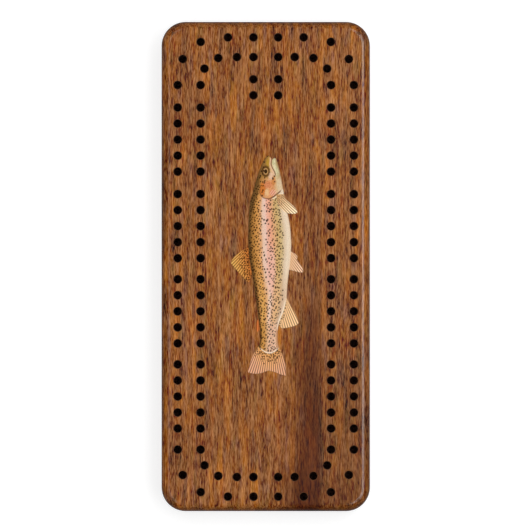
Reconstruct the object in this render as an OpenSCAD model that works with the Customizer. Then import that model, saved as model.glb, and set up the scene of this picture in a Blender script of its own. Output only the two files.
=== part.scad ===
// Two-track cribbage board with a trout picture, four pegs and a peg pocket in its back.
// Origin: centre of the footprint, on the table plane. +Y points to the start-hole end, +Z is up.

/* [Board] */
// Width of the board
board_w = 82.6; // [82:0.1:90]
// Length of the board
board_l = 194; // [193:0.5:205]
// Thickness of the board
board_t = 19; // [17:0.5:25]
// Radius of the board's corners in plan
corner_r = 9.5; // [9:0.5:12]
// Radius of the rounded top and bottom edges
edge_r = 3.2; // [2:0.1:4]

/* [Peg holes] */
// Radius of a peg hole
hole_r = 1.6; // [1.55:0.05:1.7]
// Depth of a peg hole's straight wall
hole_depth = 9; // [6:0.5:9]
// Width of the small bevel at a peg hole's mouth
hole_bevel = 0.2; // [0.1:0.05:0.3]
// Distance between neighbouring holes in a group of five
pitch = 6.35; // [6:0.05:6.4]
// Gap before and after the first group of each column
upper_gap = 8.9; // [8.5:0.05:9]
// Gap between the later groups of each column
lower_gap = 8.35; // [8:0.05:8.5]

/* [Picture] */
// Length of the trout picture, snout to tail
trout_l = 87.4; // [60:0.2:100]
// Thickness of the printed layer
print_t = 0.12; // [0.05:0.01:0.2]

/* [Back] */
// Height of a rubber foot
foot_h = 4; // [3.5:0.5:8]
// Radius of a rubber foot
foot_r = 5; // [3:0.25:6]
// Width of the peg pocket
pocket_w = 21; // [20.6:0.2:24]
// Length of the peg pocket
pocket_l = 34; // [30:1:36]
// Depth of the peg pocket
pocket_depth = 9.5; // [6:0.5:9.5]
// Width of the storage cover
cover_w = 27; // [26:0.5:30]
// Thickness of the storage cover
cover_t = 0.8; // [0.6:0.1:1]
// How far the cover is swung open
cover_angle = 0; // [-180:5:180]

/* [Pegs] */
// Length of a peg
peg_l = 29; // [26:0.5:29]
// Radius of the part of a peg that goes into a hole
peg_shank_r = 1.52; // [1.45:0.01:1.53]
// Radius of a peg's head
peg_head_r = 2.45; // [2.2:0.05:2.5]

/* [Hidden] */
$fn = 48;
eps = 0.01;
// How far a cutting shape runs past the surface it cuts
overcut = 1;

board_z = foot_h;
top_z = board_z + board_t;
// Centre of a plan corner; a foot sits under each
corner_x = board_w / 2 - corner_r;
corner_y = board_l / 2 - corner_r;

// Peg holes: the whole pattern sits a little towards the tail end of the board
pattern_y = -0.2;
group_size = 5;
outer_column_x = 34.9;
inner_column_x = 25.85;
column_top_y = 72.1;
// Holes of one quarter of the two end bends, from the middle outwards
outer_bend = [[4.9, 91], [15, 91], [25.8, 89.2], [32.9, 82.4]];
inner_bend = [[4.9, 83.2], [11.45, 83.2], [18.85, 82.8], [24.3, 78.6]];
start_x = 4.9;
start_y = 74.4;
drill_tip_h = 0.9;

// Each column is one hole, four groups of five and one last hole
column_gaps = [upper_gap, upper_gap, lower_gap, lower_gap, lower_gap];
function gap_sum(n) = n == 0 ? 0 : column_gaps[n - 1] + gap_sum(n - 1);
function group_y(group) = column_top_y - gap_sum(group) - (group - 1) * (group_size - 1) * pitch;
column_ys = concat([column_top_y],
                   [for (group = [1 : 4], i = [0 : group_size - 1]) group_y(group) - i * pitch],
                   [group_y(5)]);

// Cover, washer and screw hang below the board, stacked on the pivot
pivot_y = -23.5;
cover_free_y = 22;
cover_gap = 0.05;
cover_corner_r = 4;
cover_z = board_z - cover_gap - cover_t;
dimple_r = 14;
dimple_depth = 0.4;
dimple_inset = 8;
washer_r = 4.2;
washer_hole_r = 1.7;
washer_t = 0.4;
washer_gap = 0.03;
washer_z = cover_z - washer_gap - washer_t;
screw_r = 1.55;
screw_hole_r = 1.6;
screw_head_r = 3.45;
screw_head_h = 1.5;
screw_dome_r = 5.2;
slot_w = 0.9;
slot_depth = 0.7;
thread_root_r = 1.15;
thread_pitch = 1.3;
thread_turns = 5;
screw_tip_h = 2;
plain_shank_h = 1;
thread_z = board_z + plain_shank_h;
pilot_r = 1.2;
pilot_depth = 10.5;
pocket_corner_r = 3.175;
foot_edge_r = 1.2;

// Pegs lie side by side on the closed cover, heads at alternate ends
peg_count = 4;
peg_side_gap = 0.2;
peg_spacing = 2 * peg_head_r + peg_side_gap;
peg_cover_gap = 0.1;
peg_z = board_z - cover_gap + peg_cover_gap + peg_head_r;

// Smooth curve through points: each span is a Catmull-Rom piece in `steps` straight bits
function pick(points, i) = points[max(0, min(len(points) - 1, i))];
function blend_point(a, b, c, d, t) =
    0.5 * (2 * b + (c - a) * t + (2 * a - 5 * b + 4 * c - d) * t * t + (3 * b - a - 3 * c + d) * t * t * t);
function curve(points, steps = 3) =
    [for (i = [0 : len(points) - 2], s = [0 : steps - 1])
        blend_point(pick(points, i - 1), points[i], points[i + 1], pick(points, i + 2), s / steps)];

// Trout outline in millimetres at its drawn length, anticlockwise from the snout.
// Each run is smooth, and the runs meet in corners.
drawn_trout_l = 87.4;
back_run = [[0.9, 44.1], [-0.3, 42.9], [-1.4, 40.8], [-3, 36.8], [-4.9, 30.2], [-6.4, 24.4], [-6.9, 16],
            [-6.9, 7.7]];
dorsal_front_run = [[-6.9, 7.7], [-9.7, 6.1], [-11.9, 4.4], [-13.6, 2.2], [-13.7, 1.2]];
dorsal_rear_run = [[-13.7, 1.2], [-11, -2.1], [-9.3, -3.8], [-7.6, -5.7], [-6.7, -6.2], [-6.2, -5.3],
                   [-5.5, -2.8]];
tail_back_run = [[-5.5, -2.8], [-4.8, -6.8], [-3.9, -13.4], [-2.9, -20.8]];
adipose_run = [[-2.9, -20.8], [-3.7, -21.8], [-4, -24], [-3.7, -25.6], [-3.1, -25.9], [-2.4, -25.2]];
tail_left_run = [[-2.4, -25.2], [-2.2, -28.6], [-2.7, -30.9], [-4, -33.1], [-5.5, -36.2], [-6.6, -39.6],
                 [-7.1, -41.3], [-6.8, -42.1]];
tail_end_run = [[-6.8, -42.1], [-4.5, -42.5], [-2, -42.3], [0.3, -41.5], [1.4, -41.3], [3.4, -41.8],
                [5.9, -42.8], [8.1, -43.3]];
tail_right_run = [[8.1, -43.3], [7.9, -40.4], [7.3, -37.1], [6.2, -33.9], [5.1, -31.2], [4.7, -27.3],
                  [5.1, -23]];
anal_rear_run = [[5.1, -23], [5.9, -24.1], [7, -24.5], [10.9, -23.7], [12.7, -22.9], [13, -21.9]];
anal_front_run = [[13, -21.9], [12.2, -19.6], [10, -15.6], [8.3, -12.4]];
belly_run = [[8.3, -12.4], [8.6, -7], [9.3, -1.3]];
pelvic_rear_run = [[9.3, -1.3], [11.3, -1.8], [13.9, -2.4], [14.9, -2.1]];
pelvic_front_run = [[14.9, -2.1], [14.3, -0.1], [12.3, 2.8]];
pelvic_small_run = [[12.3, 2.8], [12.6, 3.8], [11.8, 4.9], [10, 6]];
chest_run = [[10, 6], [10.1, 9.4], [9.6, 15.9], [8.6, 21.2]];
pectoral_rear_run = [[8.6, 21.2], [10, 20.9], [11.6, 20.9], [12.5, 21.4]];
pectoral_front_run = [[12.5, 21.4], [12.2, 22.6], [10.6, 24.3], [8.8, 25.9], [7.6, 27]];
throat_run = [[7.6, 27], [6.6, 32], [5.9, 36.1], [5, 40.3], [4.2, 42.5], [3.4, 43.1]];
mouth_run = [[3.4, 43.1], [2.5, 42.3]];
upper_lip_run = [[2.5, 42.3], [1.9, 43.3]];
trout_runs = [back_run, dorsal_front_run, dorsal_rear_run, tail_back_run, adipose_run, tail_left_run,
              tail_end_run, tail_right_run, anal_rear_run, anal_front_run, belly_run, pelvic_rear_run,
              pelvic_front_run, pelvic_small_run, chest_run, pectoral_rear_run, pectoral_front_run,
              throat_run, mouth_run, upper_lip_run];

// A w by l rectangle about the origin with true arc corners
module rounded_rect(w, l, r) {
    square([w - 2 * r, l], center = true);
    square([w, l - 2 * r], center = true);
    for (x = [-1, 1], y = [-1, 1])
        translate([x * (w / 2 - r), y * (l / 2 - r)]) circle(r);
}

// A bar along Y with the board's rounded cross-section
module rounded_bar(w, l) {
    translate([0, l / 2, board_z + board_t / 2])
        rotate([90, 0, 0]) linear_extrude(l) rounded_rect(w, board_t, edge_r);
}

// A quarter turn of the rounded edge, about the corner's own axis
module rounded_corner() {
    rotate_extrude(angle = 90)
        intersection() {
            translate([0, board_z + board_t / 2]) rounded_rect(2 * corner_r, board_t, edge_r);
            translate([0, board_z]) square([corner_r, board_t]);
        }
}

module board_blank() {
    rounded_bar(board_w, board_l - 2 * corner_r);
    rotate([0, 0, 90]) rounded_bar(board_l, board_w - 2 * corner_r);
    for (corner = [0 : 3]) {
        x = (corner == 0 || corner == 3) ? 1 : -1;
        y = corner < 2 ? 1 : -1;
        translate([x * corner_x, y * corner_y, 0]) rotate([0, 0, 90 * corner]) rounded_corner();
    }
}

// Drill tool for one peg hole: straight wall, pointed end and a bevelled mouth at z = 0
module peg_drill() {
    rotate_extrude()
        polygon([[0, -hole_depth - drill_tip_h], [hole_r, -hole_depth], [hole_r, -hole_bevel],
                 [hole_r + hole_bevel, 0], [hole_r + hole_bevel, overcut], [0, overcut]]);
}

module peg_holes() {
    translate([0, pattern_y, top_z]) {
        for (side = [-1, 1], x = [inner_column_x, outer_column_x], y = column_ys)
            translate([side * x, y, 0]) peg_drill();
        for (side = [-1, 1], end = [-1, 1], spot = concat(outer_bend, inner_bend))
            translate([side * spot[0], end * spot[1], 0]) peg_drill();
        for (side = [-1, 1], row = [0, 1])
            translate([side * start_x, start_y - row * pitch, 0]) peg_drill();
    }
}

module board() {
    color([0.55, 0.34, 0.2])
        difference() {
            board_blank();
            peg_holes();
            translate([0, 0, board_z - overcut])
                linear_extrude(pocket_depth + overcut) rounded_rect(pocket_w, pocket_l, pocket_corner_r);
            translate([0, pivot_y, board_z - overcut]) cylinder(r = pilot_r, h = pilot_depth + overcut);
        }
}

module trout_print() {
    picture_scale = trout_l / drawn_trout_l;
    color([0.85, 0.65, 0.5])
        translate([0, 0, top_z])
            scale([picture_scale, picture_scale, 1])
                linear_extrude(print_t) polygon([for (run = trout_runs) each curve(run)]);
}

// The cover: round about its pivot, square at its free end, with a pressed thumb dimple
module storage_cover() {
    color([0.8, 0.65, 0.3])
        translate([0, pivot_y, cover_z])
            rotate([0, 0, cover_angle])
                difference() {
                    linear_extrude(cover_t) {
                        circle(cover_w / 2);
                        translate([-cover_w / 2, 0])
                            square([cover_w, cover_free_y - pivot_y - cover_corner_r]);
                        translate([0, (cover_free_y - pivot_y) / 2])
                            rounded_rect(cover_w, cover_free_y - pivot_y, cover_corner_r);
                    }
                    translate([0, 0, -overcut]) cylinder(r = screw_hole_r, h = cover_t + 2 * overcut);
                    translate([0, cover_free_y - pivot_y - dimple_inset, dimple_depth - dimple_r])
                        sphere(dimple_r);
                }
}

module friction_washer() {
    color([0.8, 0.65, 0.3])
        translate([0, pivot_y, washer_z])
            difference() {
                cylinder(r = washer_r, h = washer_t);
                translate([0, 0, -overcut]) cylinder(r = washer_hole_r, h = washer_t + 2 * overcut);
            }
}

// Half section of one thread ridge, standing on the root radius
function thread_tooth(z) =
    [[thread_root_r, z], [screw_r, z + thread_pitch / 2], [thread_root_r, z + thread_pitch]];

module pivot_screw() {
    head_z = washer_z - screw_head_h;
    thread_top_z = thread_z + thread_turns * thread_pitch;
    color([0.78, 0.62, 0.3])
        translate([0, pivot_y, 0]) {
            difference() {
                intersection() {
                    translate([0, 0, head_z]) cylinder(r = screw_head_r, h = screw_head_h);
                    translate([0, 0, head_z + screw_dome_r]) sphere(screw_dome_r);
                }
                translate([-screw_head_r - overcut, -slot_w / 2, head_z - overcut])
                    cube([2 * (screw_head_r + overcut), slot_w, slot_depth + overcut]);
            }
            rotate_extrude()
                polygon(concat([[0, washer_z - eps], [screw_r, washer_z - eps], [screw_r, thread_z]],
                               [for (turn = [0 : thread_turns - 1])
                                   each thread_tooth(thread_z + turn * thread_pitch)],
                               [[0, thread_top_z + screw_tip_h]]));
        }
}

module foot(x, y) {
    color([0.12, 0.12, 0.12])
        translate([x, y, 0])
            rotate_extrude() {
                translate([0, foot_edge_r]) square([foot_r, foot_h - foot_edge_r]);
                square([foot_r - foot_edge_r, foot_h]);
                translate([foot_r - foot_edge_r, foot_edge_r]) circle(foot_edge_r);
            }
}

module front_left_foot() { foot(-corner_x, -corner_y); }
module front_right_foot() { foot(corner_x, -corner_y); }
module rear_left_foot() { foot(-corner_x, corner_y); }
module rear_right_foot() { foot(corner_x, corner_y); }

// Pegs as [radius, share of the length] from the tip up
peg_waist_r = 1.25;
peg_collar_r = 2.1;
peg_head_chamfer = 0.5;
peg_body = [[0, 0], [1.1, 0], [1.4, 0.03], [peg_shank_r, 0.12], [peg_shank_r, 0.37], [peg_collar_r, 0.39],
            [peg_collar_r, 0.43], [1.7, 0.45]];
// The brass pegs end in a ball, the steel pegs in a flared head
brass_top = [[peg_waist_r, 0.84], [0, 0.84]];
steel_top = [[peg_waist_r, 0.7], [peg_head_r, 0.9], [peg_head_r, 0.96],
             [peg_head_r - peg_head_chamfer, 1], [0, 1]];

module peg_profile(top) {
    polygon([for (spot = concat(peg_body, top)) [spot[0], spot[1] * peg_l]]);
}

// Lays a peg along Y in slot 0 to 3 of the pocket, its head to +Y or -Y
module lay_peg(slot, head_side) {
    translate([(slot - (peg_count - 1) / 2) * peg_spacing, 0, peg_z])
        rotate([-90 * head_side, 0, 0]) translate([0, 0, -peg_l / 2]) children();
}

module brass_peg(slot, head_side) {
    color([0.85, 0.68, 0.3])
        lay_peg(slot, head_side)
            rotate_extrude() {
                peg_profile(brass_top);
                intersection() {
                    translate([0, peg_l - peg_head_r]) circle(peg_head_r);
                    square([peg_head_r, peg_l]);
                }
            }
}

module steel_peg(slot, head_side) {
    color([0.75, 0.76, 0.78])
        lay_peg(slot, head_side) rotate_extrude() peg_profile(steel_top);
}

module brass_peg_1() { brass_peg(0, 1); }
module brass_peg_2() { brass_peg(2, 1); }
module steel_peg_1() { steel_peg(1, -1); }
module steel_peg_2() { steel_peg(3, -1); }

board();
trout_print();
storage_cover();
pivot_screw();
friction_washer();
front_left_foot();
front_right_foot();
rear_left_foot();
rear_right_foot();
brass_peg_1();
brass_peg_2();
steel_peg_1();
steel_peg_2();
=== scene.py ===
"""Looks of a two-track cribbage board: streaked hardwood, a printed trout, brass, steel and rubber."""
import math

import bpy
import numpy as np
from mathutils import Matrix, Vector
from mathutils.geometry import delaunay_2d_cdt


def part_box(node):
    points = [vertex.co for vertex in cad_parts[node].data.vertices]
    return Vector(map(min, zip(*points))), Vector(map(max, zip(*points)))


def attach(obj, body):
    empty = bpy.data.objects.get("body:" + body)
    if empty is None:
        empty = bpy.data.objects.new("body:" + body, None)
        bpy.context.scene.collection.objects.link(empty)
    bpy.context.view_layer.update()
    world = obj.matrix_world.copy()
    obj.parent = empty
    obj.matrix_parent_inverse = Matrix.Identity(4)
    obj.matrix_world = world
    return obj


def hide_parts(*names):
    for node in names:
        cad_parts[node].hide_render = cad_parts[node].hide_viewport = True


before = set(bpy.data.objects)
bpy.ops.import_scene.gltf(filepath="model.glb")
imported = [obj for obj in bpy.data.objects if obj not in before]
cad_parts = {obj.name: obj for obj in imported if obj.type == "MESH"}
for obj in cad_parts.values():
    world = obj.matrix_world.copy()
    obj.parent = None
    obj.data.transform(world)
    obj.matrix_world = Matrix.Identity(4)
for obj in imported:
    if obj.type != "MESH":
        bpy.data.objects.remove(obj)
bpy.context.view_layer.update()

MM = 0.001
BOARD_LOW, BOARD_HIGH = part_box("board")
PRINT_LOW, PRINT_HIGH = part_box("trout_print")


def srgb(red, green, blue):
    """Linear colour with alpha from 8-bit screen values."""
    return tuple(((c / 255 + 0.055) / 1.055) ** 2.4 for c in (red, green, blue)) + (1.0,)


# ---------------------------------------------------------------- node trees

class Shader:
    """One material's node tree, written as short calls. A value is a number, a colour or a socket."""

    def __init__(self, name):
        self.material = bpy.data.materials.new(name)
        self.material.use_nodes = True
        self.nodes = self.material.node_tree.nodes
        self.links = self.material.node_tree.links
        self.nodes.clear()
        self.output = self.nodes.new("ShaderNodeOutputMaterial")

    def put(self, socket, value):
        """Links a socket to an input, or sets the input's value."""
        if isinstance(value, bpy.types.NodeSocket):
            self.links.new(value, socket)
        else:
            socket.default_value = value

    def math(self, operation, *values):
        node = self.nodes.new("ShaderNodeMath")
        node.operation = operation
        for socket, value in zip(node.inputs, values):
            self.put(socket, value)
        return node.outputs[0]

    def plus(self, *values):
        total = values[0]
        for value in values[1:]:
            total = self.math("ADD", total, value)
        return total

    def times(self, *values):
        product = values[0]
        for value in values[1:]:
            product = self.math("MULTIPLY", product, value)
        return product

    def larger(self, a, b):
        return self.math("MAXIMUM", a, b)

    def inverse(self, share):
        """1 less the share."""
        return self.math("SUBTRACT", 1.0, share)

    def vector_math(self, operation, a, b):
        node = self.nodes.new("ShaderNodeVectorMath")
        node.operation = operation
        self.put(node.inputs[0], a)
        self.put(node.inputs[1], b)
        return node.outputs[0]

    def vector(self, x, y, z):
        node = self.nodes.new("ShaderNodeCombineXYZ")
        for socket, value in zip(node.inputs, (x, y, z)):
            self.put(socket, value)
        return node.outputs[0]

    def split(self, vector):
        node = self.nodes.new("ShaderNodeSeparateXYZ")
        self.put(node.inputs[0], vector)
        return node.outputs

    def place(self):
        """Position on the object in millimetres, in the row frame at rest."""
        coordinates = self.nodes.new("ShaderNodeTexCoord")
        return self.vector_math("DIVIDE", coordinates.outputs["Object"], (MM, MM, MM))

    def normal(self):
        return self.nodes.new("ShaderNodeNewGeometry").outputs["Normal"]

    def noise(self, place, size, detail=2.0, roughness=0.5, seed=0.0):
        """Soft noise about 0.5 whose features have the given size along each axis."""
        node = self.nodes.new("ShaderNodeTexNoise")
        shifted = self.vector_math("ADD", place, (seed * 97.0, seed * 61.0, seed * 43.0))
        self.put(node.inputs["Vector"], self.vector_math("DIVIDE", shifted, size))
        self.put(node.inputs["Scale"], 1.0)
        self.put(node.inputs["Detail"], detail)
        self.put(node.inputs["Roughness"], roughness)
        return node.outputs[0]

    def cells(self, place, size, randomness=1.0, flat=False):
        """(distance to the nearest cell point, a random value per cell). Flat cells ignore height."""
        node = self.nodes.new("ShaderNodeTexVoronoi")
        node.voronoi_dimensions = "2D" if flat else "3D"
        self.put(node.inputs["Vector"], self.vector_math("DIVIDE", place, size))
        self.put(node.inputs["Scale"], 1.0)
        self.put(node.inputs["Randomness"], randomness)
        return node.outputs["Distance"], self.split(node.outputs["Color"])[0]

    def step(self, value, low, high, out_low=0.0, out_high=1.0):
        """Smooth step from out_low at low to out_high at high."""
        node = self.nodes.new("ShaderNodeMapRange")
        node.interpolation_type = "SMOOTHSTEP"
        for name, number in (("Value", value), ("From Min", low), ("From Max", high),
                             ("To Min", out_low), ("To Max", out_high)):
            self.put(node.inputs[name], number)
        return node.outputs[0]

    def between(self, value, start, full, fade, end):
        """1 from full to fade, falling to 0 at start and at end."""
        return self.times(self.step(value, start, full), self.step(value, end, fade))

    def near_zero(self, value, inner, outer, strength=1.0):
        """The strength within inner of zero on either side, falling to 0 at outer."""
        return self.step(self.math("ABSOLUTE", value), inner, outer, strength, 0)

    def ramp(self, value, stops):
        """Colour at value, from (position, (red, green, blue)) stops in screen values."""
        node = self.nodes.new("ShaderNodeValToRGB")
        elements = node.color_ramp.elements
        elements.remove(elements[1])
        elements[0].position = stops[0][0]
        elements[0].color = srgb(*stops[0][1])
        for position, colour in stops[1:]:
            elements.new(position).color = srgb(*colour)
        self.put(node.inputs[0], value)
        return node.outputs[0]

    def mix(self, factor, a, b, blend="MIX"):
        node = self.nodes.new("ShaderNodeMix")
        node.data_type = "RGBA"
        node.blend_type = blend
        for name, value in (("Factor_Float", factor), ("A_Color", a), ("B_Color", b)):
            self.put(next(s for s in node.inputs if s.identifier == name), value)
        return next(s for s in node.outputs if s.identifier == "Result_Color")

    def tinted(self, share, colour, factor):
        """The colour multiplied by a factor, as far as the share."""
        return self.mix(share, colour, self.mix(1.0, colour, factor, "MULTIPLY"))

    def attribute(self, name):
        """A number stored on the mesh's points."""
        node = self.nodes.new("ShaderNodeAttribute")
        node.attribute_name = name
        return node.outputs["Fac"]

    def colour_attribute(self, name):
        node = self.nodes.new("ShaderNodeAttribute")
        node.attribute_name = name
        return node.outputs["Color"]

    def surface(self, height=None, height_mm=0.05, strength=1.0, **inputs):
        """Ends the tree in a Principled surface. Input names use _ for a space."""
        node = self.nodes.new("ShaderNodeBsdfPrincipled")
        for name, value in inputs.items():
            self.put(node.inputs[name.replace("_", " ")], value)
        if height is not None:
            bump = self.nodes.new("ShaderNodeBump")
            self.put(bump.inputs["Height"], height)
            self.put(bump.inputs["Distance"], height_mm * MM)
            self.put(bump.inputs["Strength"], strength)
            self.put(node.inputs["Normal"], bump.outputs[0])
        self.links.new(node.outputs[0], self.output.inputs["Surface"])
        return self.material


# ---------------------------------------------------------------- wood

# The streaks' colours from the darkest to the lightest
WOOD_STOPS = [(0.10, (98, 54, 14)), (0.32, (128, 75, 28)), (0.50, (149, 91, 43)),
              (0.68, (173, 110, 53)), (0.90, (200, 132, 66))]

# What one step of fibre brightness adds to red, green and blue, in linear light
FIBRE_SHEEN = (1.08, 0.6, 0.28)
# Linear colour that the fibres can't go below
DARKEST_WOOD = (0.004, 0.002, 0.001)
PORE_COLOUR = srgb(66, 32, 10)
# What the wood's colour is multiplied by in the heartwood, towards the lower right corner beyond it, and on
# end grain
HEARTWOOD_FACTOR = (0.34, 0.21, 0.12, 1)
LOWER_RIGHT_DARK_FACTOR = (0.72, 0.7, 0.72, 1)
END_GRAIN_FACTOR = (0.62, 0.56, 0.5, 1)
# Depth of the bevel at a peg hole's mouth, in mm
HOLE_BEVEL = 0.2
# Streaks of another hue: size in mm, seed, noise values where they start and end, strength, factor
WOOD_TINTS = [((2.6, 17, 2.6), 7, 0.45, 0.58, 1.0, (1.15, 1.02, 0.28, 1)),
              ((2.6, 14, 2.6), 8, 0.53, 0.64, 1.0, (0.8, 0.83, 1.6, 1)),
              ((2.4, 20, 2.4), 20, 0.52, 0.66, 0.6, (1.0, 0.84, 0.74, 1)),
              ((2.4, 12, 2.4), 21, 0.55, 0.70, 0.7, (0.9, 1.1, 0.8, 1))]


def grain_place(shader):
    """Position that wanders sideways a little, so that the grain isn't ruler straight."""
    place = shader.place()
    slow = shader.noise(place, (40, 150, 40), seed=1)
    quick = shader.noise(place, (6, 26, 6), seed=2)
    bend = shader.plus(shader.math("MULTIPLY_ADD", slow, 6, -3),
                       shader.math("MULTIPLY_ADD", quick, 0.7, -0.35))
    return shader.vector_math("ADD", place, shader.vector(bend, 0.0, bend))


def heartwood(shader, place):
    """(dark heartwood, darkening towards the lower right corner beyond it): a strip that grows wide and dark
    to the lower right.
    """
    x, y, _ = shader.split(place)
    waver = shader.noise(place, (8, 26, 8), detail=3, seed=3)
    shift = shader.plus(shader.step(y, -35, -10, 0, -3.5), shader.step(y, -70, -88, 0, 4))
    left = shader.step(shader.plus(shader.math("MULTIPLY_ADD", waver, 5, x), shift), 8, 20.5)
    right = shader.step(shader.math("MULTIPLY_ADD", waver, 1.5, x), 20.7, 25, 1, 0)
    along = shader.plus(shader.step(y, 15, 45, 0.28, 0), shader.step(y, -22, -5, 0.5, 0),
                        shader.step(y, -65, -35, 0.22, 0))
    # Darker towards the lower right corner, to the right of the strip
    dull = shader.times(shader.step(x, 20, 24), shader.step(y, -30, -60))
    return shader.times(left, right, along), dull


def wood_colour(shader, grain):
    """(colour, fibre height) of the streaked hardwood, without its pores and heartwood."""
    fine = shader.noise(grain, (0.36, 3.2, 0.36), detail=2, roughness=0.7, seed=4)
    fibre = shader.noise(grain, (0.42, 11, 0.42), detail=1, seed=5)
    streak = shader.noise(grain, (2.0, 18, 2.0), detail=2, seed=23)
    band = shader.noise(grain, (7, 60, 7), detail=2, seed=6)
    tone = shader.math("MULTIPLY_ADD", streak, 0.9, shader.math("MULTIPLY_ADD", band, 0.5, -0.27))
    colour = shader.ramp(tone, WOOD_STOPS)
    for size, seed, low, high, strength, factor in WOOD_TINTS:
        share = shader.step(shader.noise(grain, size, seed=seed), low, high, 0, strength)
        colour = shader.tinted(share, colour, factor)
    lift = shader.plus(shader.step(fine, 0.24, 0.72, -0.175, 0.155),
                       shader.math("MULTIPLY_ADD", fibre, 0.36, -0.18))
    sheen = shader.vector_math("MULTIPLY", FIBRE_SHEEN, shader.vector(lift, lift, lift))
    colour = shader.vector_math("ADD", colour, sheen)
    return shader.vector_math("MAXIMUM", colour, DARKEST_WOOD), fine


def grown_wood(shader):
    """(colour, fibre height, pore mask) of the wood with its dark pores and heartwood."""
    grain = grain_place(shader)
    colour, fine = wood_colour(shader, grain)
    distance, chance = shader.cells(grain, (0.7, 4.5, 0.7))
    pores = shader.times(shader.step(distance, 0.12, 0.3, 1, 0), shader.step(chance, 0.3, 0.9))
    colour = shader.mix(shader.times(pores, 0.6), colour, PORE_COLOUR)
    strip, dull = heartwood(shader, shader.place())
    colour = shader.tinted(strip, colour, HEARTWOOD_FACTOR)
    colour = shader.tinted(dull, colour, LOWER_RIGHT_DARK_FACTOR)
    return colour, fine, pores


def lacquered_wood():
    """The outside of the board: satin lacquer over the wood, darker where end grain shows."""
    shader = Shader("lacquered_wood")
    colour, fine, pores = grown_wood(shader)
    towards_end = shader.math("ABSOLUTE", shader.split(shader.normal())[1])
    colour = shader.tinted(shader.step(towards_end, 0.05, 0.9, 0, 0.9), colour, END_GRAIN_FACTOR)
    relief = shader.math("SUBTRACT", shader.times(fine, 0.4), pores)
    return shader.surface(relief, 0.03, 0.35, Base_Color=colour,
                          Roughness=0.6, Specular_IOR_Level=0.05,
                          Coat_Weight=1.0, Coat_Roughness=shader.step(fine, 0.3, 0.7, 0.17, 0.12))


def drilled_wood_painted_shade():
    """Inside a peg hole: bare wood darkened with painted shade, with tool rings and a paler bevel at the
    mouth.
    """
    shader = Shader("drilled_wood_painted_shade")
    place = shader.place()
    rings = shader.noise(place, (6, 6, 0.25), seed=9)
    # Painted shade: both colours are far darker than the bare wood, so that the holes read dark.
    colour = shader.ramp(rings, [(0.3, (38, 18, 10)), (0.7, (70, 36, 22))])
    below = shader.math("SUBTRACT", BOARD_HIGH.z / MM, shader.split(place)[2])
    colour = shader.mix(shader.step(below, HOLE_BEVEL, HOLE_BEVEL - 0.04), colour, srgb(106, 64, 32))
    return shader.surface(rings, 0.05, 0.5, Base_Color=colour, Roughness=0.85)


def routed_wood():
    """The peg pocket's walls: bare wood off the cutter, paler and unlacquered."""
    shader = Shader("routed_wood")
    colour, fine, _ = grown_wood(shader)
    pale = shader.mix(0.35, colour, srgb(176, 128, 86))
    return shader.surface(fine, 0.06, 0.6, Base_Color=pale, Roughness=0.8)


# ---------------------------------------------------------------- metal and rubber

def brushed_brass():
    shader = Shader("brushed_brass")
    place = shader.place()
    brush = shader.noise(place, (0.06, 14, 0.06), detail=3, roughness=0.7, seed=10)
    tarnish = shader.noise(place, (9, 12, 9), detail=4, roughness=0.6, seed=11)
    colour = shader.ramp(tarnish, [(0.3, (176, 134, 66)), (0.55, (206, 166, 92)), (0.75, (214, 178, 106))])
    rough = shader.math("MULTIPLY_ADD", brush, 0.3, shader.step(tarnish, 0.3, 0.7, 0.26, 0.12))
    return shader.surface(brush, 0.012, 0.5, Base_Color=colour, Metallic=1.0, Roughness=rough)


def turned_metal(name, dull, bright, axis_size):
    """Metal turned on a lathe: fine rings across the axis. axis_size is the ring noise's size in mm."""
    shader = Shader(name)
    place = shader.place()
    rings = shader.noise(place, axis_size, detail=3, roughness=0.6, seed=12)
    stains = shader.noise(place, (3, 4, 3), detail=3, seed=13)
    colour = shader.ramp(stains, [(0.3, dull), (0.65, bright)])
    rough = shader.math("MULTIPLY_ADD", rings, 0.2, shader.step(stains, 0.3, 0.7, 0.2, 0.08))
    return shader.surface(rings, 0.01, 0.4, Base_Color=colour, Metallic=1.0, Roughness=rough)


def black_rubber():
    shader = Shader("black_rubber")
    place = shader.place()
    speckle = shader.noise(place, (0.3, 0.3, 0.3), detail=3, seed=14)
    dust = shader.noise(place, (4, 4, 4), detail=3, seed=15)
    colour = shader.ramp(dust, [(0.35, (24, 23, 22)), (0.7, (46, 44, 42))])
    return shader.surface(speckle, 0.05, 0.5, Base_Color=colour, Roughness=0.72)


def paint_board():
    """Lacquer outside, wood darkened with painted shade in the peg holes, and bare wood in the pocket and
    pilot hole.
    """
    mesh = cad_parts["board"].data
    mesh.materials.clear()
    for material in (lacquered_wood(), drilled_wood_painted_shade(), routed_wood()):
        mesh.materials.append(material)
    lacquered, drilled, routed = range(3)
    rim = 4 * MM
    slack = 0.02 * MM
    pocket_half_width, pocket_half_length, pocket_depth = 20 * MM, 40 * MM, 9.6 * MM
    for face in mesh.polygons:
        x, y, z = face.center
        inside = (abs(x) < BOARD_HIGH.x - rim and abs(y) < BOARD_HIGH.y - rim
                  and BOARD_LOW.z + slack < z < BOARD_HIGH.z - slack)
        in_back = (z < BOARD_LOW.z + pocket_depth
                   and abs(x) < pocket_half_width and abs(y) < pocket_half_length)
        if not inside:
            face.material_index = lacquered
        else:
            face.material_index = routed if in_back else drilled


def paint_node(node, material):
    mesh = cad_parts[node].data
    mesh.materials.clear()
    mesh.materials.append(material)


# ---------------------------------------------------------------- trout picture

# The fish's lines below are drawn at this length and scaled to the film
DRAWN_LENGTH = 87.4 * MM
PICTURE_SCALE = (PRINT_HIGH.y - PRINT_LOW.y) / DRAWN_LENGTH
# Distance between the film's mesh points, in drawn millimetres
MESH_SPACING = 0.4

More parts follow.
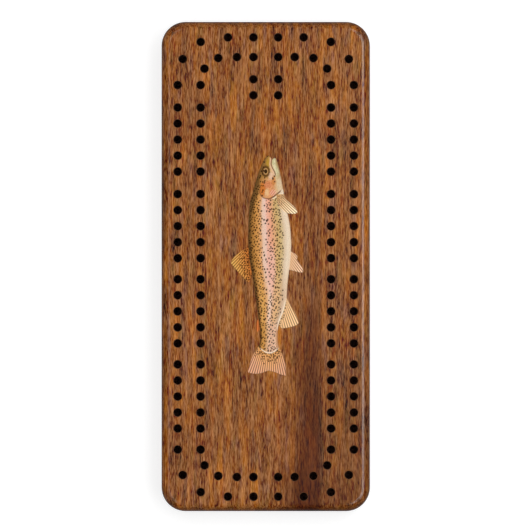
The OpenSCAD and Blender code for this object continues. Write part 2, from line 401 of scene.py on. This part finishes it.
# Edges of the fish's body without its fins, as (y, x) in drawn millimetres from snout to tail
BACK_LINE = [(44.1, 0.9), (42.9, -0.3), (40.8, -1.4), (36.8, -3), (30.2, -4.9), (24.4, -6.4), (16, -6.9),
             (7.7, -6.9), (2, -6.4), (-2.8, -5.5), (-6.8, -4.8), (-13.4, -3.9), (-20.8, -2.9), (-25.2, -2.4),
             (-28.6, -2.2), (-30.9, -2.7), (-35, -4.6)]
BELLY_LINE = [(44.1, 1.9), (43.1, 3.4), (40.3, 5), (36.1, 5.9), (32, 6.6), (27, 7.6), (21.2, 8.6),
              (15.9, 9.6), (9.4, 10.1), (6, 10), (-1.3, 9.3), (-7, 8.6), (-12.4, 8.3), (-17, 7.3),
              (-23, 5.2), (-27.3, 4.7), (-31.2, 5.1), (-35, 6.6)]
GILL_EDGE = [(-2.1, 40), (-2.2, 31.5), (-2.5, 29.4), (-1.8, 27.9), (-0.5, 27), (1.4, 26.8), (3, 27.6),
             (4.5, 28.7), (6, 30), (7.2, 31.4)]
MOUTH_LINE = [(2.4, 42.6), (2.1, 40.6), (2.6, 39.1), (3.5, 37.6), (3.9, 36.2)]
EYE = (0, 37.7)
# The eye's length over its width
EYE_STRETCH = 1.35

# Where the pectoral fin lies over the body, and the way its rays run
PECTORAL_BASE = [(4.2, 28.4), (4.6, 25.6), (5.7, 23.2), (7.6, 21.5), (9.6, 20.7), (14, 20.4)]
PECTORAL_LEFT = 3
PECTORAL_REAR = 20
PECTORAL_FRONT = 28.5
PECTORAL_DIRECTION = (0.81, -0.585)

# The tail fin starts at a curve across the body. Ahead of the dorsal fin's front, only the pectoral
# is a fin
TAIL_BASE_X = 1.4
TAIL_BASE_Y = -34.6
TAIL_BASE_CURVE = 0.15
DORSAL_FRONT = 8.2
# Distance off the body that stands for a point well inside it
IN_BODY = -1.0

# Each fin: side of the body, y range, where its rays fan from, ray spacing, how far it stands out,
# and its colours at the body and at its edge
FINS = {
    "dorsal": (-1, (-7, 8.2), (2.6, 16.8), 0.75, 7, (198, 112, 44), (214, 164, 86)),
    "adipose": (-1, (-26.5, -20), (-3, -10), 0.9, 2, (200, 108, 50), (200, 112, 54)),
    "tail": (0, (-45, -30), (2, -20), 0.72, 9, (228, 164, 96), (218, 160, 124)),
    "anal": (1, (-25.5, -12), (0.9, 2.6), 0.78, 6, (234, 186, 134), (238, 194, 144)),
    "pelvic": (1, (-3.2, 6.4), (-15.2, 36.8), 0.72, 8, (228, 178, 134), (240, 200, 168)),
    "pectoral": (1, (19.5, 29), (-14.5, 45.8), 0.72, 11, (208, 152, 92), (254, 230, 190)),
}


def line_x(stations, y):
    """Smooth line through (y, x) stations, by cubic pieces with averaged slopes."""
    ys, xs = np.array(sorted(stations)).T
    slopes = np.gradient(xs, ys)
    i = np.clip(np.searchsorted(ys, y) - 1, 0, len(ys) - 2)
    width = ys[i + 1] - ys[i]
    t = np.clip((y - ys[i]) / width, 0, 1)
    start = (1 + 2 * t) * (1 - t) ** 2 * xs[i] + t * (1 - t) ** 2 * width * slopes[i]
    return start + t * t * (3 - 2 * t) * xs[i + 1] + t * t * (t - 1) * width * slopes[i + 1]


def line_distance(points, line):
    """Signed distance of each point to a polyline, positive on its left going along it."""
    line = np.array(line, float)
    start, step = line[:-1], np.diff(line, axis=0)
    gap = points[:, None] - start[None]
    share = np.clip((gap * step).sum(2) / (step * step).sum(1), 0, 1)
    away = gap - share[..., None] * step
    length = np.hypot(away[..., 0], away[..., 1])
    nearest = length.argmin(1)
    rows = np.arange(len(points))
    side = step[nearest, 0] * gap[rows, nearest, 1] - step[nearest, 1] * gap[rows, nearest, 0]
    return np.where(side >= 0, 1, -1) * length[rows, nearest]


def print_outline():
    """The printed film's outline from its CAD top face, in drawn millimetres, as a closed loop."""
    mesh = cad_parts["trout_print"].data
    upward = 0.99
    slack = 0.01 * MM
    uses = {}
    for face in mesh.polygons:
        if face.normal.z > upward and face.center.z > PRINT_HIGH.z - slack:
            for edge in face.edge_keys:
                uses[edge] = uses.get(edge, 0) + 1
    neighbours = {}
    for (a, b), count in uses.items():
        if count == 1:
            neighbours.setdefault(a, []).append(b)
            neighbours.setdefault(b, []).append(a)
    first = min(neighbours)
    loop = [first, neighbours[first][0]]
    while len(loop) < len(neighbours):
        a, b = neighbours[loop[-1]]
        loop.append(b if a == loop[-2] else a)
    scale = PICTURE_SCALE * MM
    return np.array([mesh.vertices[i].co[:2] for i in loop]) / scale


def inside_outline(points, outline):
    """True for points inside a closed loop, by counting crossings."""
    inside = np.zeros(len(points), bool)
    for (x0, y0), (x1, y1) in zip(outline, np.roll(outline, -1, axis=0)):
        crosses = (y0 > points[:, 1]) != (y1 > points[:, 1])
        if crosses.any():
            inside ^= crosses & (points[:, 0] < (x1 - x0) * (points[:, 1] - y0) / (y1 - y0) + x0)
    return inside


def filled_outline(outline):
    """(points, triangles) that fill the outline with an even mesh, in drawn millimetres."""
    low, high = outline.min(0), outline.max(0)
    row_spacing = MESH_SPACING * 0.87
    edge_gap = MESH_SPACING * 0.4
    merge_distance = 1e-5
    rows = np.arange(low[1], high[1], row_spacing)
    grid = [(x + MESH_SPACING / 2 * (row % 2), y) for row, y in enumerate(rows)
            for x in np.arange(low[0], high[0], MESH_SPACING)]
    grid = np.array(grid)
    closed = np.vstack([outline, outline[:1]])
    clear = np.abs(line_distance(grid, closed)) > edge_gap
    grid = grid[inside_outline(grid, outline) & clear]
    points = [Vector(p) for p in np.vstack([outline, grid])]
    count = len(outline)
    edges = [(i, (i + 1) % count) for i in range(count)]
    found = delaunay_2d_cdt(points, edges, [], 1, merge_distance)
    return np.array([p[:] for p in found[0]]), found[2]


def fin_values(points, off_side):
    """(fin colour, ray count, how far the point is towards the fin's edge, whether a fin covers it)."""
    colour = np.ones((len(points), 4))
    covered = np.zeros(len(points), bool)
    ray = np.zeros(len(points))
    reach = np.zeros(len(points))
    x, y = points.T
    middle = (line_x(BACK_LINE, y) + line_x(BELLY_LINE, y)) / 2
    for side, (low, high), origin, spacing, length, base, edge in FINS.values():
        here = (y > low) & (y < high) & ((x - middle) * side >= 0)
        covered |= here
        dx, dy = x - origin[0], origin[1] - y
        centre_distance = np.hypot(dx, dy)[here].mean()
        ray[here] = (np.arctan2(dx, dy) * centre_distance / spacing)[here]
        reach[here] = np.clip(off_side / length, 0, 1)[here]
        share = reach[here, None]
        colour[here] = np.array(srgb(*base)) * (1 - share) + np.array(srgb(*edge)) * share
    return colour, ray, reach, covered


def fish_values(points, outline):
    """(what the picture's material reads, by name; the fin colour), with one row or value per point."""
    x, y = points.T
    back, belly = line_x(BACK_LINE, y), line_x(BELLY_LINE, y)
    past_tail_base = TAIL_BASE_Y + TAIL_BASE_CURVE * (x - TAIL_BASE_X) ** 2 - y
    off_side = np.maximum(np.maximum(back - x, x - belly), past_tail_base)
    in_pectoral = (x > PECTORAL_LEFT) & (y > PECTORAL_REAR) & (y < PECTORAL_FRONT)
    off_body = np.where(in_pectoral, np.maximum(off_side, line_distance(points, PECTORAL_BASE)), off_side)
    off_body = np.where((y > DORSAL_FRONT) & ~in_pectoral, IN_BODY, off_body)
    along_pectoral = (points - PECTORAL_BASE[0]) @ PECTORAL_DIRECTION
    colour, ray, reach, covered = fin_values(points, np.where(in_pectoral, along_pectoral, off_side))
    closed = np.vstack([outline, outline[:1]])
    return {
        "across": (x - back) / (belly - back),
        "off_body": np.where(covered, off_body, IN_BODY),
        "fin_ray": ray,
        "fin_reach": reach,
        "gill": line_distance(points, GILL_EDGE),
        "mouth": line_distance(points, MOUTH_LINE),
        "eye": np.hypot(x - EYE[0], (y - EYE[1]) / EYE_STRETCH),
        "rim": np.abs(line_distance(points, closed)),
    }, colour


def trout_picture():
    """A closed film on the board: a fine top face, a bottom and a thin edge, with the fish's values."""
    outline = print_outline()
    points, triangles = filled_outline(outline)
    count = len(points)
    scale = PICTURE_SCALE * MM
    top = [(x * scale, y * scale, PRINT_HIGH.z) for x, y in points]
    bottom = [(x, y, PRINT_LOW.z) for x, y, _ in top]
    directed = {(t[i], t[(i + 1) % 3]) for t in triangles for i in range(3)}
    rim = [(a, b) for a, b in directed if (b, a) not in directed]
    faces = [tuple(t) for t in triangles]
    faces += [tuple(i + count for i in reversed(t)) for t in triangles]
    faces += [(b, a, a + count, b + count) for a, b in sorted(rim)]
    mesh = bpy.data.meshes.new("trout_picture")
    mesh.from_pydata(top + bottom, [], faces)
    values, colour = fish_values(points, outline)
    for name, value in values.items():
        stored = mesh.attributes.new(name, "FLOAT", "POINT")
        stored.data.foreach_set("value", np.tile(value, 2).astype(np.float32))
    stored = mesh.attributes.new("fin_colour", "FLOAT_COLOR", "POINT")
    stored.data.foreach_set("color", np.tile(colour, (2, 1)).astype(np.float32).ravel())
    mesh.update()
    picture = bpy.data.objects.new("trout_picture", mesh)
    bpy.context.scene.collection.objects.link(picture)
    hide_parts("trout_print")
    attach(picture, "board_body")
    mesh.materials.append(trout_ink())


# Ink across the fish from its back (0) to its belly (1), for each stretch of its length
SNOUT = [
    (0.0, (92, 62, 28)), (0.14, (146, 106, 54)), (0.28, (170, 126, 60)), (0.42, (200, 154, 78)),
    (0.52, (226, 180, 122)), (0.64, (236, 192, 142)), (0.72, (228, 200, 152)),
    (0.8, (222, 208, 160)), (0.88, (196, 172, 122)), (1.0, (160, 118, 72))
]
CHEEK = [
    (0.0, (84, 58, 26)), (0.1, (112, 78, 32)), (0.2, (190, 132, 68)), (0.28, (212, 148, 84)),
    (0.4, (220, 160, 108)), (0.55, (238, 166, 112)), (0.68, (226, 158, 104)),
    (0.76, (228, 184, 134)), (0.82, (226, 196, 152)), (0.92, (238, 204, 158)),
    (1.0, (224, 176, 128))
]
FRONT_BODY = [
    (0.0, (72, 50, 24)), (0.05, (98, 68, 30)), (0.1, (170, 116, 52)), (0.16, (204, 142, 70)),
    (0.24, (222, 158, 88)), (0.3, (232, 172, 120)), (0.345, (242, 204, 178)),
    (0.41, (246, 208, 192)), (0.455, (248, 188, 164)), (0.53, (246, 174, 142)),
    (0.585, (236, 174, 132)), (0.65, (228, 182, 126)), (0.72, (214, 178, 116)),
    (0.79, (220, 192, 140)), (0.85, (232, 206, 172)), (0.92, (246, 226, 200)),
    (1.0, (248, 220, 186))
]
REAR_BODY = [
    (0.0, (78, 50, 22)), (0.06, (104, 70, 32)), (0.11, (190, 132, 66)), (0.17, (228, 170, 92)),
    (0.28, (228, 166, 88)), (0.37, (238, 182, 130)), (0.43, (248, 208, 178)),
    (0.48, (250, 216, 194)), (0.54, (242, 194, 160)), (0.6, (238, 188, 142)),
    (0.72, (238, 190, 136)), (0.8, (224, 182, 138)), (0.86, (214, 180, 148)),
    (0.92, (228, 196, 166)), (1.0, (242, 208, 174))
]
ROOT_BODY = [
    (0.0, (82, 52, 22)), (0.08, (98, 64, 26)), (0.13, (206, 146, 70)), (0.28, (212, 152, 80)),
    (0.38, (220, 170, 120)), (0.5, (246, 198, 162)), (0.6, (232, 184, 154)),
    (0.75, (236, 190, 160)), (0.84, (246, 202, 170)), (0.91, (214, 162, 126)),
    (1.0, (192, 132, 86))
]

# Soft patches on the head: centre, half width and half length in mm, strength and colour
HEAD_PATCHES = [
    ((-1.3, 30.6), (1.5, 3.2), 0.85, (214, 116, 38)),
    ((3.1, 34.2), (1.2, 2.4), 0.7, (212, 130, 56)),
    ((0.9, 32.4), (1.9, 1.7), 0.6, (222, 124, 84)),
    ((0.5, 29.4), (0.9, 1.9), 0.85, (246, 200, 146)),
    ((2.0, 35.9), (1.2, 1.9), 0.85, (240, 202, 170)),
    ((2.7, 29.2), (1.5, 1.5), 0.7, (226, 130, 96)),
    ((0.9, 41.0), (0.9, 1.9), 0.75, (190, 148, 44)),
    ((5.6, 32.5), (1.1, 3.5), 0.6, (226, 204, 170)),
]

# The inks of the markings
INK = {name: srgb(*screen) for name, screen in (
    ("spot", (48, 24, 8)), ("fin_spot", (66, 30, 10)), ("freckle", (168, 84, 32)),
    ("scale", (150, 102, 50)), ("speckle", (124, 84, 44)), ("nape", (90, 64, 30)),
    ("pink_band", (250, 196, 178)), ("body_edge", (250, 232, 206)), ("rim", (110, 72, 36)),
    ("gill_edge", (104, 58, 36)), ("gill_crescent", (238, 216, 180)), ("throat_stripe", (248, 208, 190)),
    ("lip", (238, 192, 160)), ("mouth_line", (104, 62, 34)), ("jaw", (238, 226, 184)),
    ("jaw_streak", (196, 198, 150)), ("eye_ring", (70, 42, 12)), ("iris", (182, 130, 80)),
    ("inner_iris", (218, 174, 108)), ("pupil", (20, 8, 3)))}
# Discs of the eye from the outside in: full ink within, none beyond, and the ink
EYE_DISCS = [(0.94, 1.1, "iris"), (0.74, 0.88, "inner_iris"), (0.6, 0.74, "pupil")]
# What a fin's own colour is multiplied by on its rays and between them
FIN_RAY_FACTOR = (1.2, 1.25, 1.3, 1)
FIN_GAP_FACTOR = (0.42, 0.33, 0.25, 1)


def body_colour(shader, across, y):
    """Bands along the flank: dark back, gold, pale, pink, olive tan and cream belly."""
    front, rear = shader.ramp(across, FRONT_BODY), shader.ramp(across, REAR_BODY)
    colour = shader.mix(shader.step(y, 2, -14), front, rear)
    return shader.mix(shader.step(y, -20, -25), colour, shader.ramp(across, ROOT_BODY))


def patch(shader, place, centre, half_size):
    """1 at the centre of an oval, falling to 0 at its edge."""
    offset = shader.vector_math("SUBTRACT", place, (*centre, 0))
    x, y, _ = shader.split(shader.vector_math("DIVIDE", offset, (*half_size, 1)))
    square = shader.plus(shader.times(x, x), shader.times(y, y))
    return shader.step(square, 0.25, 1.1, 1, 0)


def cheek_freckles(shader, colour, place):
    """Small rust freckles over the gill cover."""
    grains = shader.step(shader.noise(place, (0.55, 0.7, 1), detail=2, seed=24), 0.52, 0.64)
    share = shader.times(grains, patch(shader, place, (1.2, 32.6), (3.2, 3.6)), 0.55)
    return shader.mix(share, colour, INK["freckle"])


def throat_stripes(shader, colour, place):
    """A few slanting pale stripes near the gill cover's lower edge."""
    x, y, _ = shader.split(place)
    slant = shader.math("SUBTRACT", y, shader.times(x, 1.3))
    wave = shader.math("SINE", shader.times(slant, 5))
    share = shader.times(shader.step(wave, 0, 0.8, 0, 0.8), patch(shader, place, (3, 29.2), (1.7, 1.6)))
    return shader.mix(share, colour, INK["throat_stripe"])


def jaws(shader, colour, place, y):
    """A pale lip above the mouth line, a streaked lower jaw beyond it and the dark line itself."""
    mouth = shader.attribute("mouth")
    near_mouth = shader.step(y, 35.4, 36.6)
    lip = shader.times(shader.between(mouth, -0.9, -0.6, -0.3, -0.1), near_mouth, 0.75)
    colour = shader.mix(lip, colour, INK["lip"])
    streak = shader.noise(place, (0.4, 2.6, 1), detail=2, seed=25)
    jaw_colour = shader.mix(shader.step(streak, 0.42, 0.6), INK["jaw"], INK["jaw_streak"])
    jaw = shader.times(shader.between(mouth, 0.1, 0.4, 1.1, 2.2), shader.step(y, 35, 38), 0.75)
    colour = shader.mix(jaw, colour, jaw_colour)
    line = shader.times(shader.near_zero(mouth, 0.1, 0.3, 0.85), near_mouth)
    return shader.mix(line, colour, INK["mouth_line"])


def head_colour(shader, across, place):
    """Cheek and snout with their patches and markings, the jaws and the eye."""
    y = shader.split(place)[1]
    colour = shader.mix(shader.step(y, 33, 37), shader.ramp(across, CHEEK), shader.ramp(across, SNOUT))
    ragged = shader.noise(place, (0.5, 0.8, 1), detail=3, roughness=0.8, seed=16)
    drift = shader.math("MULTIPLY_ADD", ragged, 3, -1.5)
    moved = shader.vector_math("ADD", place, shader.vector(drift, drift, 0.0))
    for centre, half_size, strength, screen in HEAD_PATCHES:
        share = shader.times(patch(shader, moved, centre, half_size), strength)
        colour = shader.mix(share, colour, srgb(*screen))
    colour = cheek_freckles(shader, colour, place)
    colour = throat_stripes(shader, colour, place)
    colour = jaws(shader, colour, place, y)
    return eye_colour(shader, colour, place)


def eye_colour(shader, colour, place):
    """A dark ragged ring, a tan iris with a bright inner ring, and a dark pupil."""
    eye = shader.attribute("eye")
    ragged = shader.noise(place, (0.5, 0.5, 1), detail=2, seed=17)
    ring = shader.step(shader.math("MULTIPLY_ADD", ragged, 0.7, eye), 1.8, 2.35, 0.9, 0)
    colour = shader.mix(ring, colour, INK["eye_ring"])
    for inner, outer, name in EYE_DISCS:
        colour = shader.mix(shader.step(eye, inner, outer, 1, 0), colour, INK[name])
    return colour


def gill_cover(shader, colour, place):
    """The gill cover's rear edge, darker towards the throat, and the pale crescent behind it."""
    x, y, _ = shader.split(place)
    gill = shader.attribute("gill")
    crescent = shader.times(shader.between(gill, -1.0, -0.75, -0.3, -0.1),
                            shader.step(x, 2.2, 3.2, 0, 0.85), shader.step(x, 6.4, 5.4))
    colour = shader.mix(crescent, colour, INK["gill_crescent"])
    edge = shader.times(shader.near_zero(gill, 0.12, 0.4), shader.step(x, -1, 3, 0.55, 0.9),
                        shader.step(x, 6.4, 5.6), shader.step(y, 31.5, 30.5))
    return shader.mix(edge, colour, INK["gill_edge"])


def scattered(shader, place):
    """Position turned and bent a little, so that cells don't line up along the fish."""
    x, y, _ = shader.split(place)
    turned_x = shader.plus(shader.times(x, 0.85), shader.times(y, -0.53))
    turned_y = shader.plus(shader.times(x, 0.53), shader.times(y, 0.85))
    bend = shader.times(shader.noise(place, (4, 4, 1), seed=26), 1.6)
    return shader.vector(shader.plus(turned_x, bend), shader.math("SUBTRACT", turned_y, bend), 0.0)


def flank_spots(shader, across, y):
    """Share of the flank's cells that hold a spot: most on the back, fewer on the pale band."""
    upper = shader.plus(shader.step(across, 0.34, 0.29, 0.3, 0.92), shader.step(across, 0.43, 0.47, 0, 0.35),
                        shader.step(across, 0.54, 0.60, 0, 0.3))
    rear = shader.times(shader.step(y, -4, -20, 0, 0.5), shader.step(across, 0.93, 0.86))
    return shader.plus(shader.times(upper, shader.step(across, 0.85, 0.79)), rear)


def head_spots(shader, place, across, y):
    """Share of the head's cells that hold a spot: the crown, the upper cheek and below the eye."""
    crown = shader.step(across, 0.3, 0.2, 0, 0.7)
    cheek = shader.times(shader.step(y, 36.2, 35), shader.step(across, 0.4, 0.3, 0, 0.6))
    below_eye = shader.times(patch(shader, place, (3.4, 34.3), (1.2, 2.2)), 0.55)
    return shader.larger(shader.larger(cheek, crown), below_eye)


def spot_mask(shader, place, across, y, head):
    """Small dark spots. The higher its chance value, the smaller a cell's spot and the rarer."""
    density = shader.plus(shader.times(head_spots(shader, place, across, y), head),
                          shader.times(flank_spots(shader, across, y), shader.inverse(head)))
    distance, chance = shader.cells(scattered(shader, place), (0.96, 1.1, 1), 0.7, flat=True)
    radius = shader.math("MULTIPLY_ADD", chance, -0.1, 0.37)
    spot = shader.step(shader.math("SUBTRACT", distance, radius), -0.1, 0.04, 1, 0)
    return shader.times(spot, shader.math("LESS_THAN", chance, density))


def fin_spots(shader, place, reach):
    """Spots by the bases of the dorsal and tail fins, fewer on the lower fins, freckles on the pectoral."""
    x, y, _ = shader.split(place)
    distance, chance = shader.cells(place, (0.86, 0.92, 1), 0.7, flat=True)
    density = shader.larger(shader.step(reach, 0.75, 0.15, 0, 0.9), shader.step(reach, 0.16, 0.1))
    spot = shader.times(shader.step(distance, 0.28, 0.42, 0.9, 0), shader.math("LESS_THAN", chance, density))
    on_lower = shader.times(shader.step(y, -29, -28), shader.step(x, 4, 5))
    lower_limit = shader.larger(shader.inverse(on_lower), shader.step(reach, 0.2, 0.14))
    on_adipose = shader.times(shader.math("LESS_THAN", x, 0), shader.math("LESS_THAN", y, -19.5),
                              shader.math("GREATER_THAN", y, -27))
    spotted = shader.times(shader.step(x, 9.0, 7.5), shader.step(y, 18, 14),
                           lower_limit, shader.inverse(on_adipose))
    freckled = shader.times(shader.step(y, 18, 20), shader.step(reach, 0.6, 0.25, 0, 0.5))
    return shader.times(spot, shader.larger(spotted, freckled))


def fin_colour(shader, place):
    """Fin membrane with pale rays, darker between them, and spots."""
    tint = shader.colour_attribute("fin_colour")
    reach = shader.attribute("fin_reach")
    wave = shader.math("SINE", shader.times(shader.attribute("fin_ray"), 2 * math.pi))
    rays = shader.tinted(shader.step(reach, 0, 0.5, 0.2, 1.0), tint, FIN_RAY_FACTOR)
    gaps = shader.times(shader.step(wave, -0.2, 0.8), shader.step(reach, 0.0, 0.4, 0.25, 1.0))
    colour = shader.mix(gaps, rays, shader.mix(1.0, tint, FIN_GAP_FACTOR, "MULTIPLY"))
    return shader.mix(fin_spots(shader, place, reach), colour, INK["fin_spot"])


def nape_colour(shader, colour, across, y):
    """The dark of the back spreads out over the nape and the crown."""
    width = shader.times(shader.between(y, 16, 30, 33, 38), 0.15)
    beyond = shader.math("SUBTRACT", across, width)
    dark = shader.times(shader.step(beyond, -0.02, 0.07, 0.85, 0), shader.step(width, 0.0, 0.05))
    return shader.mix(dark, colour, INK["nape"])


def pale_edge(shader, colour, place, off_body):
    """A pale line where the body ends against the tail fin and along the anal fin's base."""
    x, y, _ = shader.split(place)
    line = shader.between(off_body, -0.75, -0.45, -0.25, -0.1)
    by_tail = shader.step(y, -32, -33)
    by_anal = shader.times(shader.step(x, 4, 4.6), shader.between(y, -26, -24, -15, -12))
    share = shader.times(line, shader.larger(by_tail, by_anal), 0.8)
    return shader.mix(share, colour, INK["body_edge"])


def body_texture(shader, colour, place):
    """Fine scales and darker speckles over the whole body."""
    scales = shader.cells(place, (0.42, 0.5, 1), 0.35, flat=True)[0]
    colour = shader.mix(shader.step(scales, 0.2, 0.6, 0, 0.2), colour, INK["scale"])
    speckle = shader.noise(place, (0.28, 0.4, 1), detail=2, roughness=0.7, seed=22)
    return shader.mix(shader.step(speckle, 0.5, 0.75, 0, 0.5), colour, INK["speckle"])


def trout_ink():
    """Printed ink: body bands and spots, head, gill edge and fins, under a thin satin coat."""
    shader = Shader("trout_ink")
    place = shader.vector_math("DIVIDE", shader.place(), (PICTURE_SCALE,) * 3)
    y = shader.split(place)[1]
    waver = shader.noise(place, (2.5, 7, 5), detail=3, seed=18)
    across = shader.plus(shader.attribute("across"), shader.math("MULTIPLY_ADD", waver, 0.06, -0.03))
    head = shader.larger(shader.step(shader.attribute("gill"), -0.05, 0.05), shader.step(y, 33, 36))
    colour = shader.mix(head, body_colour(shader, across, y), head_colour(shader, across, place))
    pink = shader.times(patch(shader, place, (2.1, -1), (2.1, 11)), 0.7)
    colour = shader.mix(pink, colour, INK["pink_band"])
    colour = nape_colour(shader, colour, across, y)
    colour = body_texture(shader, colour, place)
    spots = spot_mask(shader, place, across, y, head)
    colour = shader.mix(shader.times(spots, 0.92), colour, INK["spot"])
    colour = gill_cover(shader, colour, place)
    off_body = shader.attribute("off_body")
    colour = pale_edge(shader, colour, place, off_body)
    fin = shader.step(off_body, -0.08, 0.08)
    colour = shader.mix(fin, colour, fin_colour(shader, place))
    rim = shader.step(shader.attribute("rim"), 0.0, 0.35, 0.3, 0)
    colour = shader.mix(rim, colour, INK["rim"])
    grain = shader.noise(place, (0.25, 3, 1), detail=2, seed=19)
    top = shader.step(shader.split(shader.normal())[2], 0.3, 0.8)
    return shader.surface(grain, 0.02, 0.2, Base_Color=colour, Roughness=0.7,
                          Coat_Weight=shader.times(top, 0.15), Coat_Roughness=0.12,
                          Specular_IOR_Level=shader.times(top, 0.02))


# ---------------------------------------------------------------- stage, light and camera

def floor_material():
    """Pale to the camera only, glowing under the board, and clear from below."""
    shader = Shader("pale_floor")
    seen = shader.nodes.new("ShaderNodeLightPath").outputs["Is Camera Ray"]
    x, y, _ = shader.split(shader.place())
    dark_grey, pale_grey = (0.25, 0.25, 0.25, 1), (0.45, 0.45, 0.45, 1)
    diffuse = shader.nodes.new("ShaderNodeBsdfDiffuse")
    shader.put(diffuse.inputs["Color"], shader.mix(seen, dark_grey, pale_grey))
    under_board = shader.times(shader.near_zero(x, 36, 40), shader.near_zero(y, 90, 94))
    far = shader.math("SQRT", shader.plus(shader.times(x, x), shader.times(y, y)))
    paleness = shader.times(seen, shader.step(far, 150, 900, 0.72, 1.0))
    glow = shader.nodes.new("ShaderNodeEmission")
    shader.put(glow.inputs["Strength"], shader.larger(shader.times(under_board, 0.5), paleness))
    both = shader.nodes.new("ShaderNodeAddShader")
    clear = shader.nodes.new("ShaderNodeBsdfTransparent")
    pick = shader.nodes.new("ShaderNodeMixShader")
    from_below = shader.nodes.new("ShaderNodeNewGeometry").outputs["Backfacing"]
    for source, target in ((diffuse.outputs[0], both.inputs[0]), (glow.outputs[0], both.inputs[1]),
                           (from_below, pick.inputs[0]), (both.outputs[0], pick.inputs[1]),
                           (clear.outputs[0], pick.inputs[2]),
                           (pick.outputs[0], shader.output.inputs["Surface"])):
        shader.put(target, source)
    return shader.material


def floor():
    """A plain pale floor that throws little light back, so that the board's rims stay dark."""
    half = 3.0
    corners = [(-half, -half, 0), (half, -half, 0), (half, half, 0), (-half, half, 0)]
    mesh = bpy.data.meshes.new("floor")
    mesh.from_pydata(corners, [], [(0, 1, 2, 3)])
    plane = bpy.data.objects.new("floor", mesh)
    bpy.context.scene.collection.objects.link(plane)
    mesh.materials.append(floor_material())


def softbox(name, position, size, radiance, mirrored=True):
    """A rectangular light aimed at the board. Its second size runs up towards the zenith."""
    light = bpy.data.lights.new(name, "AREA")
    light.shape = "RECTANGLE"
    light.size, light.size_y = size
    light.energy = radiance * math.pi * size[0] * size[1]
    lamp = bpy.data.objects.new(name, light)
    lamp.location = position
    lamp.rotation_euler = (Vector((0, 0, BOARD_HIGH.z)) - lamp.location).to_track_quat("-Z", "Y").to_euler()
    lamp.visible_camera = False
    lamp.visible_glossy = mirrored
    bpy.context.scene.collection.objects.link(lamp)


def lights():
    """Two strips near the zenith draw the rim's highlights. The fills only add soft light."""
    softbox("right_strip", (0.38, 0, 1.0), (1.1, 0.5), 3.5)
    softbox("left_strip", (-0.22, 0, 1.0), (1.1, 0.2), 1.3)
    softbox("overhead_fill", (-0.05, 0.15, 1.3), (0.9, 0.9), 1.85, mirrored=False)
    softbox("rear_fill", (0, 0.9, 0.9), (1.0, 0.5), 0.7, mirrored=False)
    studio_walls()


def studio_walls():
    """The surroundings: pale to the camera, dim to the board, and dimmer still on the near side."""
    world = bpy.data.worlds.new("studio")
    world.use_nodes = True
    nodes, links = world.node_tree.nodes, world.node_tree.links
    rays = nodes.new("ShaderNodeLightPath")
    direction = nodes.new("ShaderNodeSeparateXYZ")
    links.new(nodes.new("ShaderNodeTexCoord").outputs["Generated"], direction.inputs[0])
    spread = nodes.new("ShaderNodeMapRange")
    for name, value in (("From Min", -1), ("From Max", 1), ("To Min", 0.06), ("To Max", 0.3)):
        spread.inputs[name].default_value = value
    glossy = nodes.new("ShaderNodeMapRange")
    glossy.inputs["To Max"].default_value = 0.05
    seen = nodes.new("ShaderNodeMath")
    seen.operation = "MAXIMUM"
    links.new(direction.outputs["Y"], spread.inputs["Value"])
    links.new(rays.outputs["Is Glossy Ray"], glossy.inputs["Value"])
    links.new(spread.outputs[0], glossy.inputs["To Min"])
    links.new(glossy.outputs[0], seen.inputs[0])
    links.new(rays.outputs["Is Camera Ray"], seen.inputs[1])
    links.new(seen.outputs[0], nodes["Background"].inputs["Strength"])
    nodes["Background"].inputs["Color"].default_value = (1, 1, 1, 1)
    bpy.context.scene.world = world


def camera():
    """Straight above the board, far off on a long lens, with the board's length upright in the picture."""
    view_width = 0.21
    distance = 4.0
    sensor = 36.0
    aim_x, aim_y = -0.3 * MM, 0.6 * MM
    data = bpy.data.cameras.new("camera")
    data.sensor_width = sensor
    data.lens = sensor * distance / view_width
    data.clip_end = 5 * distance
    eye = bpy.data.objects.new("camera", data)
    eye.location = (aim_x, aim_y, BOARD_HIGH.z + distance)
    bpy.context.scene.collection.objects.link(eye)
    bpy.context.scene.camera = eye


paint_board()
paint_node("storage_cover", brushed_brass())
screw_brass = turned_metal("screw_brass", (150, 112, 54), (196, 156, 86), (0.5, 0.5, 0.05))
paint_node("pivot_screw", screw_brass)
paint_node("friction_washer", screw_brass)
rubber = black_rubber()
for foot in ("front_left_foot", "front_right_foot", "rear_left_foot", "rear_right_foot"):
    paint_node(foot, rubber)
peg_brass = turned_metal("peg_brass", (178, 136, 64), (222, 182, 100), (0.8, 0.07, 0.8))
peg_steel = turned_metal("peg_steel", (150, 150, 152), (206, 206, 208), (0.8, 0.07, 0.8))
for number in ("1", "2"):
    paint_node("brass_peg_" + number, peg_brass)
    paint_node("steel_peg_" + number, peg_steel)
trout_picture()
floor()
lights()
camera()
bpy.context.scene.view_settings.view_transform = "Standard"
